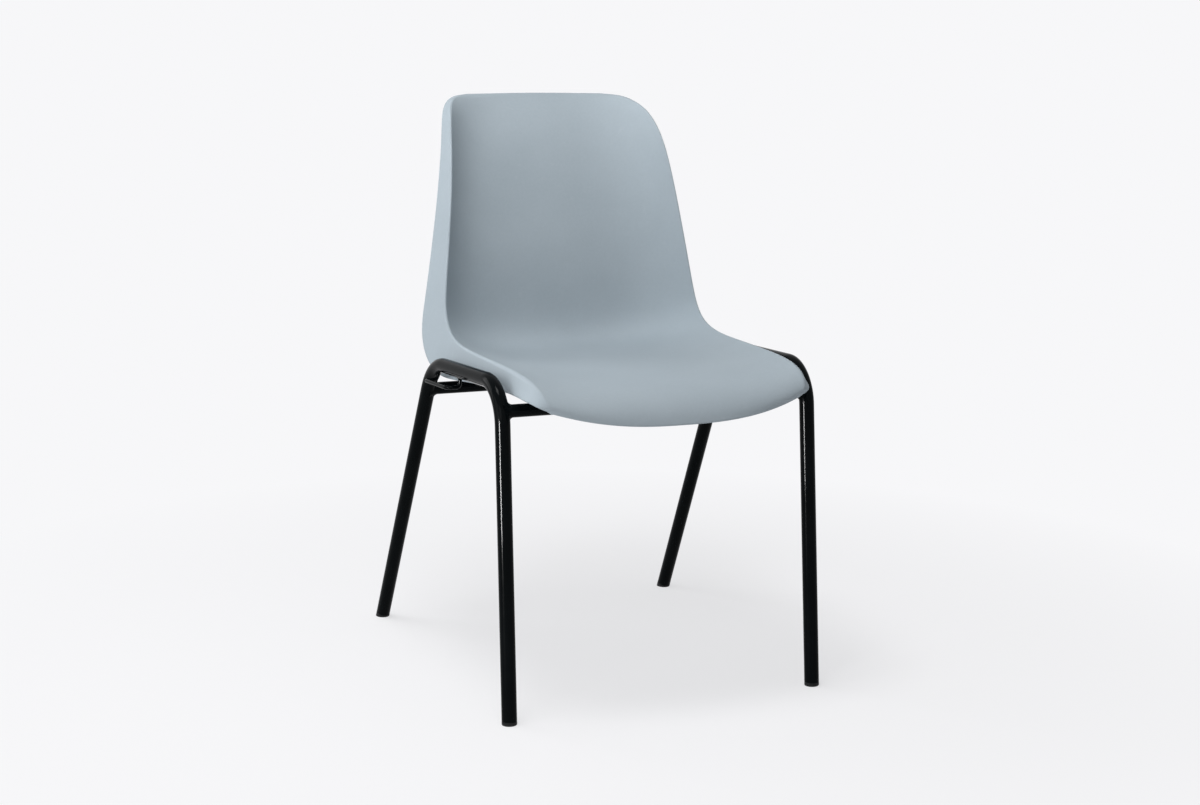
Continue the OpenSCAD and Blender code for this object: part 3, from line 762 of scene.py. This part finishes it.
def boss(side, end):
    """A boss under the seat, with a fillet at its root, a saddle and the insert's bore."""
    x0, y0 = side * SCREW_X, end[1]
    base = end[2] + BAR_R - SADDLE_DEPTH

    def ring(r, level):
        angles = round_angles(BOSS_SEGMENTS)
        return [vec(x0 + r * math.cos(a), y0 + r * math.sin(a), level) for a in angles]

    def root_ring(r, rise):
        """A ring that follows the sheet's underside."""
        return [vec(x, y, underside(x, y, z) + rise) for x, y, z in ring(r, base)]

    profile = [(BOSS_MIDDLE_R, 0.0), (BOSS_R - BOSS_EDGE_R, 0.0)]
    profile += arc(BOSS_R - BOSS_EDGE_R, BOSS_EDGE_R, BOSS_EDGE_R, -60, 0, EDGE_R_STEPS)
    rings = [ring(r, base + h) for r, h in profile]
    for step in range(FILLET_STEPS + 1):
        a = QUARTER * step / FILLET_STEPS
        fall = BOSS_FILLET_R * (1 - math.sin(a))
        rings.append(root_ring(BOSS_R + BOSS_FILLET_R * (1 - math.cos(a)), FILLET_SINK - fall))
    rings.append(root_ring(BOSS_R + BOSS_FILLET_R, SHELL_WALL / 2))
    span = 2 * BOSS_R
    saddle = rod(
        vec(x0, y0, end[2]), vec(1, 0, 0), BAR_R + FIT_GAP, -span, span, SADDLE_SEGMENTS
    )
    bore_top = end[2] + BAR_R + INSERT_LEN + 2 * FIT_GAP
    bore = rod(
        vec(x0, y0, 0), vec(0, 0, 1), (INSERT_D + FIT_GAP) / 2, end[2], bore_top, BORE_SEGMENTS
    )
    return carved(skin_rings(rings), [saddle, bore])


bosses = [boss(side, end) for side in (-1, 1) for end in (FRONT_BAR_END, REAR_BAR_END)]
shell_mesh = merged(raw_mesh(*sheet), *bosses)
shell = as_piece("moulded_shell", shell_mesh, SHELL_MAT, sharp_angle=50)
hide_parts("seat_shell")


# ---------------------------------------------------------------- the bent tubes
TUBE_SEGMENTS = 56


def tube_form(front_cut, rear_cut):
    points, ways = hoop_path(front_cut, rear_cut)
    outer = tube_rings(points, ways, TUBE_R, TUBE_SEGMENTS, OUTWARD)
    inner = tube_rings(points, ways, TUBE_R - TUBE_WALL, TUBE_SEGMENTS, OUTWARD)
    return skin_rings(outer + inner[::-1], closed=True)


right_form = tube_form(FRONT_HEAD_LEN, REAR_HEAD_LEN)
right_mesh = raw_mesh(*right_form, "right_tube")
left_mesh = raw_mesh(*mirrored(*right_form), "left_tube")
right_tube = as_piece("right_tube", right_mesh, PAINT_MAT, sharp_angle=40)
left_tube = as_piece("left_tube", left_mesh, PAINT_MAT, sharp_angle=40)
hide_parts("right_hoop")
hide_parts("left_hoop")

# ---------------------------------------------------------------- crossbars and their welds
# A finer centre line, to find the tube's surface by
CENTRE_LINE, _ = hoop_path(bend_step=math.radians(1.5), run_step=20.0)
SURFACE_HALVINGS = 30
BAR_SEGMENTS, SCREW_BORE_SEGMENTS, WELD_SEGMENTS, WELD_STEPS = 64, 32, 96, 8
# Rings along the bar, a pair of them beside the screw, and how far from the tube the last one is
BAR_RINGS, LAST_RING = (0, 40, 80, SCREW_X - 9, SCREW_X + 9, 150), 14
# How far the bar's end lies inside the tube's surface
COPE_SINK = 0.3
# The weld's reach along the bar and up the tube, how hollow it is and how deep it sinks in
WELD_ON_BAR, WELD_ON_TUBE, WELD_HOLLOW, WELD_ROOT, WELD_SINK = 5.0, 4.2, 0.5, 0.6, 0.15
# Along the bar the weld keeps this share of its reach, where it has no room on the tube
WELD_LEAST = 0.55
# Towards the tube's sides: the weld's least room, the shares of the tube's radius by which it
# narrows and ends, and the least sine of the angle from the bar's top that they are worked out for
LEAST_ROOM, ROOM_SHARE, LIMIT_SHARE, LEAST_SINE = 0.3, 0.965, 0.975, 1e-3
# Ripples along the weld, each its number, its depth as a share and its start
RIPPLES = ((22, 0.05, 0), (9, 0.04, 1))


def to_centre_line(p):
    """The distance from a point to the right tube's centre line."""
    a, b = CENTRE_LINE[:-1], CENTRE_LINE[1:]
    run = b - a
    t = np.clip(((p - a) * run).sum(1) / (run * run).sum(1), 0, 1)
    return np.sqrt(((a + run * t[:, None] - p) ** 2).sum(1).min())


class BarEnd:
    """The end of a crossbar at the right tube, in coordinates round the bar's own line."""

    def __init__(self, end):
        self.half, self.y, self.z = end

    def point(self, x, r, a):
        return vec(x, self.y + r * math.sin(a), self.z + r * math.cos(a))

    def tube_x(self, r, a):
        """Where a line along X meets the tube's surface, or its nearest place."""
        low, high = self.half - 2 * TUBE_R, self.half
        if to_centre_line(self.point(high, r, a)) >= TUBE_R:
            return high
        for _ in range(SURFACE_HALVINGS):
            mid = (low + high) / 2
            if to_centre_line(self.point(mid, r, a)) > TUBE_R:
                low = mid
            else:
                high = mid
        return (low + high) / 2


def crossbar_form(end):
    bar = BarEnd(end)
    angles = round_angles(BAR_SEGMENTS)
    stations = [*BAR_RINGS, bar.half - TUBE_R - LAST_RING]

    def both(r):
        right = [[bar.point(x, r, a) for a in angles] for x in stations]
        right.append([bar.point(bar.tube_x(r, a) + COPE_SINK, r, a) for a in angles])
        left = [[flip(p) for p in q] for q in right[:0:-1]]
        return left + right

    outer, inner = both(BAR_R), both(BAR_R - BAR_WALL)
    verts, faces = skin_rings(outer + inner[::-1], closed=True)
    return verts, turned(faces)


def weld_form(end):
    """The fillet of weld round a coped end: hollow in section, a little rippled along its run."""
    bar = BarEnd(end)
    rings = []
    for a in round_angles(WELD_SEGMENTS):
        tube_side = TUBE_R / max(abs(math.sin(a)), LEAST_SINE)
        room = max(ROOM_SHARE * tube_side - BAR_R, LEAST_ROOM)
        up = (WELD_ON_TUBE ** -3 + room ** -3) ** (-1 / 3)
        along = WELD_ON_BAR * (WELD_LEAST + (1 - WELD_LEAST) * up / WELD_ON_TUBE)
        ripple = 1 + sum(depth * math.sin(number * a + start) for number, depth, start in RIPPLES)
        joint = bar.tube_x(BAR_R, a)
        top_r = min(BAR_R + up * ripple, LIMIT_SHARE * tube_side)
        foot = bar.point(joint - along * ripple, BAR_R - WELD_SINK, a)
        corner = bar.point(joint - WELD_ROOT, BAR_R + WELD_HOLLOW, a)
        head = bar.point(bar.tube_x(top_r, a) + WELD_SINK, top_r, a)
        line = []
        for k in range(WELD_STEPS + 1):
            t = k / WELD_STEPS
            line.append((1 - t) ** 2 * foot + 2 * t * (1 - t) * corner + t * t * head)
        line.append(bar.point(joint + WELD_ROOT, BAR_R - WELD_ROOT, a))
        rings.append(line)
    return skin_rings(rings, closed=True)


def build_crossbar(name, node, end):
    bores = [
        rod(vec(side * SCREW_X, end[1], end[2]), vec(0, 0, 1), SCREW_D / 2 + FIT_GAP,
            -2 * BAR_R, 2 * BAR_R, SCREW_BORE_SEGMENTS)
        for side in (-1, 1)
    ]
    weld = weld_form(end)
    mesh = carved(crossbar_form(end), bores)
    mesh = merged(mesh, raw_mesh(*weld), raw_mesh(*mirrored(*weld)))
    bar = as_piece(name, mesh, PAINT_MAT, sharp_angle=50)
    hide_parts(node)
    return bar


front_bar = build_crossbar("front_bar", "front_crossbar", FRONT_BAR_END)
rear_bar = build_crossbar("rear_bar", "rear_crossbar", REAR_BAR_END)

# ---------------------------------------------------------------- the linking wires
RAIL_BACK = math.cos(RAIL_SLOPE) * BACKWARD - math.sin(RAIL_SLOPE) * UPWARD
RAIL_UP = math.sin(RAIL_SLOPE) * BACKWARD + math.cos(RAIL_SLOPE) * UPWARD
RAIL_END = on_hoop(FRONT_RAKE + RAIL_LEN, RAIL_H - RAIL_FALL)
WIRE_SEGMENTS, WIRE_WELD_SEGMENTS = 32, 40
# How far the wire's end lies inside the rail
WIRE_SINK = 0.5
# Its weld: how far it spreads from the wire, and how long its hollow side is
WIRE_WELD_SPREAD, WIRE_WELD_LEN = 2.2, 3.2
WIRE_WELD_SHARES = (0, 0.15, 0.3, 0.45, 0.6, 0.8, 1)
# Places along the wire: the weld's origin, and from there its back, its foot and its tip
WIRE_WELD_START, WELD_BACK, WELD_FOOT, WELD_TIP = 0.2, -1.0, -0.4, 2.9
# How far its tip goes into the wire
TIP_SINK = 0.3


def wire_path(setback, lengths, bends):
    """A wire that goes down from the rail, at a setback from the rail's rear corner."""
    start = RAIL_END - setback * RAIL_BACK - RAIL_UP * (TUBE_R - WIRE_SINK)
    return bent_path(
        start, -RAIL_UP, OUTWARD, lengths, bends, bend_step=math.radians(6), run_step=12.0
    )


def wire_weld(p, d):
    """A small cone of weld, hollow in section, with its wide end inside the rail."""
    profile = [(0, WELD_BACK), (WIRE_R + WIRE_WELD_SPREAD, WELD_BACK)]
    profile += [
        (WIRE_R + WIRE_WELD_SPREAD * (1 - t) ** 2, WELD_FOOT + WIRE_WELD_LEN * t)
        for t in WIRE_WELD_SHARES
    ]
    profile += [(WIRE_R - TIP_SINK, WELD_TIP), (0, WELD_TIP)]
    return lathe(profile, p + d * WIRE_WELD_START, d, WIRE_WELD_SEGMENTS)


def build_wire(name, node, path, both_ends, left):
    points, ways = path
    forms = [skin_rings(tube_rings(points, ways, WIRE_R, WIRE_SEGMENTS, BACKWARD))]
    forms.append(wire_weld(points[0], ways[0]))
    if both_ends:
        forms.append(wire_weld(points[-1], -ways[-1]))
    form = mirrored(*join(*forms)) if left else join(*forms)
    wire = as_piece(name, raw_mesh(*form, name), PAINT_MAT, sharp_angle=50)
    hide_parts(node)
    return wire


post = LINK_DROP + WIRE_SINK - WIRE_BEND_R
arm = LOOP_REACH - WIRE_BEND_R - LOOP_CORNER_R
loop_path = wire_path(
    LOOP_SETBACK,
    [post, arm, LOOP_LEN - 2 * LOOP_CORNER_R, arm, post],
    [(QUARTER, WIRE_BEND_R, 0), (QUARTER, LOOP_CORNER_R, QUARTER),
     (QUARTER, LOOP_CORNER_R, 0), (QUARTER, WIRE_BEND_R, -QUARTER)],
)
hook_path = wire_path(
    LOOP_SETBACK + LOOP_LEN / 2,
    [post - 2 * WIRE_R, HOOK_REACH - 2 * WIRE_BEND_R, HOOK_TIP - WIRE_BEND_R],
    [(QUARTER, WIRE_BEND_R, 0), (QUARTER, WIRE_BEND_R, math.pi)],
)
loop = build_wire("link_eye_wire", "link_loop", loop_path, both_ends=True, left=True)
hook = build_wire("link_hook_wire", "link_hook", hook_path, both_ends=False, left=False)

# ---------------------------------------------------------------- foot plugs
PLUG_SEGMENTS, SOLE_STEPS = 64, 8
# The round and the slope of the head's upper edge, and the chamfer of the stem's end
HEAD_EDGE_R, HEAD_SLOPE, STEM_CHAMFER = 0.4, 0.1, 1.0


def foot_mesh(foot, corner, lean, head_len):
    """A foot plug for the right side, cut level with the floor."""
    sole = -TUBE_R * math.tan(lean)
    stem_r, stem_top = TUBE_R - TUBE_WALL - FIT_GAP, head_len + STEM_LEN
    edge_top = head_len - GROOVE
    profile = [(0, sole), ((TUBE_R - SOLE_ROUND) / 2, sole)]
    profile += arc(TUBE_R - SOLE_ROUND, sole + SOLE_ROUND, SOLE_ROUND, -90, 0, SOLE_STEPS)
    profile += arc(TUBE_R - HEAD_EDGE_R, edge_top - HEAD_EDGE_R, HEAD_EDGE_R, 0, 90, EDGE_R_STEPS)
    profile += [(TUBE_R - GROOVE - HEAD_SLOPE, edge_top), (TUBE_R - GROOVE, head_len)]
    profile += [(stem_r, head_len), (stem_r, stem_top - STEM_CHAMFER)]
    profile += [(stem_r - STEM_CHAMFER, stem_top), (STEM_BORE_R, stem_top)]
    profile += [(STEM_BORE_R, head_len + GROOVE), (0, head_len + GROOVE)]
    mesh = raw_mesh(*lathe(profile, foot, unit(corner - foot), PLUG_SEGMENTS), "foot")
    work = bmesh.new()
    work.from_mesh(mesh)
    cut = bmesh.ops.bisect_plane(
        work, geom=work.verts[:] + work.edges[:] + work.faces[:], dist=1e-7,
        plane_co=(0, 0, 0), plane_no=(0, 0, -1), clear_outer=True,
    )
    rim = [e for e in cut["geom_cut"] if isinstance(e, bmesh.types.BMEdge)]
    bmesh.ops.contextual_create(work, geom=rim)
    bmesh.ops.recalc_face_normals(work, faces=work.faces[:])
    work.to_mesh(mesh)
    work.free()
    return mesh


def build_foot(name, node, mesh, side):
    if side < 0:
        mesh.transform(Matrix.Scale(-1, 4, (1, 0, 0)))
        mesh.flip_normals()
    plug = as_piece(name, mesh, FOOT_MAT, sharp_angle=35)
    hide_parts(node)


FRONT_PLUG = (FRONT_FOOT, on_hoop(FRONT_RAKE, RAIL_H), FRONT_LEAN, FRONT_HEAD_LEN)
REAR_PLUG = (on_hoop(FOOT_SPAN, 0), RAIL_END, REAR_LEAN, REAR_HEAD_LEN)
for foot_side, hand in ((-1, "left"), (1, "right")):
    for plug_end, plug_spec in (("front", FRONT_PLUG), ("rear", REAR_PLUG)):
        stem = "%s_%s" % (plug_end, hand)
        build_foot(stem + "_plug", stem + "_foot", foot_mesh(*plug_spec), foot_side)

# ---------------------------------------------------------------- small CAD parts keep their solids
FIXING_EDGE, FIXING_SHARP = 0.18, 40
FIXING_MATS = {"_screw": ZINC_MAT, "_washer": WASHER_MAT, "_insert": BRASS_MAT}
for node_name, node_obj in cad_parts.items():
    for kind, fixing_mat in FIXING_MATS.items():
        if node_name.endswith(kind):
            node_obj.data.materials.clear()
            node_obj.data.materials.append(fixing_mat)
            edge = node_obj.modifiers.new("edge", "BEVEL")
            edge.width, edge.segments = FIXING_EDGE * MM, 2
            edge.limit_method, edge.angle_limit = "ANGLE", math.radians(FIXING_SHARP)

# ---------------------------------------------------------------- floor, light and camera
# In metres from here on. Linear colours of what the camera sees, and of the floor under light
WHITE, SHADED_WHITE = (0.93, 0.93, 0.945), (0.886, 0.886, 0.9)
FLOOR_COLOUR, FLOOR_HALF = (0.80, 0.80, 0.81), 30.0
# The shadow's share in what the camera sees: full at the near distance, none at the far one
SHADE_NEAR, SHADE_FAR, SHADE_SHARE = 0.30, 1.2, 0.36
# The strength of the surroundings as a light
AMBIENT = 0.33


def seen_ray(tree):
    """1 for the rays that show the white surroundings: camera, glossy and transmission rays."""
    ray = tree.nodes.new("ShaderNodeLightPath")
    either = maths(tree, "MAXIMUM", ray.outputs["Is Camera Ray"], ray.outputs["Is Glossy Ray"])
    return maths(tree, "MAXIMUM", either, ray.outputs["Is Transmission Ray"])


def mixed(tree, factor, first, second):
    node = tree.nodes.new("ShaderNodeMixShader")
    for socket, value in zip(node.inputs, (factor, first.outputs[0], second.outputs[0])):
        tree.links.new(value, socket)
    return node


def floor_material():
    """A camera ray sees a white sweep: the shadow near the chair, fading to one even tone."""
    mat, tree, shader, place = node_material("pale_floor")
    shader.inputs["Base Color"].default_value = (*FLOOR_COLOUR, 1)
    shader.inputs["Roughness"].default_value = 0.8
    shader.inputs["Specular IOR Level"].default_value = 0.1
    plain = tree.nodes.new("ShaderNodeEmission")
    plain.inputs["Color"].default_value = (*WHITE, 1)
    shaded = tree.nodes.new("ShaderNodeBsdfDiffuse")
    shaded.inputs["Color"].default_value = (*SHADED_WHITE, 1)
    away = tree.nodes.new("ShaderNodeVectorMath")
    away.operation = "LENGTH"
    tree.links.new(place, away.inputs[0])
    fade = remap(tree, away.outputs["Value"], (SHADE_NEAR, SHADE_FAR), (SHADE_SHARE, 0.0))
    shown = mixed(tree, seen_ray(tree), shader, mixed(tree, fade, plain, shaded))
    tree.links.new(shown.outputs[0], tree.nodes["Material Output"].inputs["Surface"])
    return mat


def build_floor():
    mesh = bpy.data.meshes.new("floor")
    corners = [(x * FLOOR_HALF, y * FLOOR_HALF, 0) for x, y in ((-1, -1), (1, -1), (1, 1), (-1, 1))]
    mesh.from_pydata(corners, [], [(0, 1, 2, 3)])
    mesh.materials.append(floor_material())
    obj = bpy.data.objects.new("floor", mesh)
    bpy.context.scene.collection.objects.link(obj)
    return obj


def build_world():
    world = bpy.data.worlds.new("studio")
    world.use_nodes = True
    tree = world.node_tree
    light = tree.nodes["Background"]
    light.inputs["Color"].default_value = (1, 1, 1, 1)
    light.inputs["Strength"].default_value = AMBIENT
    backdrop = tree.nodes.new("ShaderNodeBackground")
    backdrop.inputs["Color"].default_value = (*WHITE, 1)
    backdrop.inputs["Strength"].default_value = 1.0
    shown = mixed(tree, seen_ray(tree), light, backdrop)
    tree.links.new(shown.outputs[0], tree.nodes["World Output"].inputs["Surface"])
    return world


floor = build_floor()
bpy.context.scene.world = build_world()

# Each lamp: its place, its width and height, and its power in watts
LAMPS = {
    "front_left": ((-2.8, -3.0, 2.2), (2.0, 2.0), 35.0),
    "left": ((-3.2, -0.3, 1.2), (2.0, 2.0), 31.0),
    "back_left": ((-2.6, 2.2, 1.6), (2.0, 2.0), 41.0),
    "over": ((-0.4, -0.35, 1.9), (0.5, 0.5), 14.0),
    "low_strip": ((-1.18, -0.61, 0.29), (0.16, 0.38), 72.0),
}
# The point that every lamp faces
AIM = Vector((0, 0, 0.45))


def build_lamp(name, place, size, power):
    data = bpy.data.lights.new(name, "AREA")
    data.shape = "RECTANGLE"
    data.size, data.size_y = size
    data.energy = power
    lamp = bpy.data.objects.new(name, data)
    lamp.location = place
    lamp.rotation_euler = (AIM - Vector(place)).to_track_quat("-Z", "Y").to_euler()
    bpy.context.scene.collection.objects.link(lamp)
    return lamp


lamps = {lamp_name: build_lamp(lamp_name, *spec) for lamp_name, spec in LAMPS.items()}
# The strip lights the tubes and wires alone, and shows only as the glints along them
glinting = bpy.data.collections.new("glinting")
for painted in (right_tube, left_tube, front_bar, rear_bar, loop, hook):
    glinting.objects.link(painted)
lamps["low_strip"].visible_diffuse = False
lamps["low_strip"].light_linking.receiver_collection = glinting

# Fitted to the photograph: the sensor's width and the lens in millimetres, the turns in degrees
SENSOR_W, LENS = 36.0, 60.384
CAMERA_PLACE, CAMERA_TURNS = (-1.0654, -2.5473, 0.8880), (79.2265, -0.5855, -22.6398)
camera_data = bpy.data.cameras.new("camera")
camera_data.sensor_width, camera_data.lens = SENSOR_W, LENS
camera_data.sensor_fit = "HORIZONTAL"
camera = bpy.data.objects.new("camera", camera_data)
camera.location = CAMERA_PLACE
camera.rotation_euler = [math.radians(a) for a in CAMERA_TURNS]
bpy.context.scene.collection.objects.link(camera)
bpy.context.scene.camera = camera
bpy.context.scene.view_settings.view_transform = "Standard"
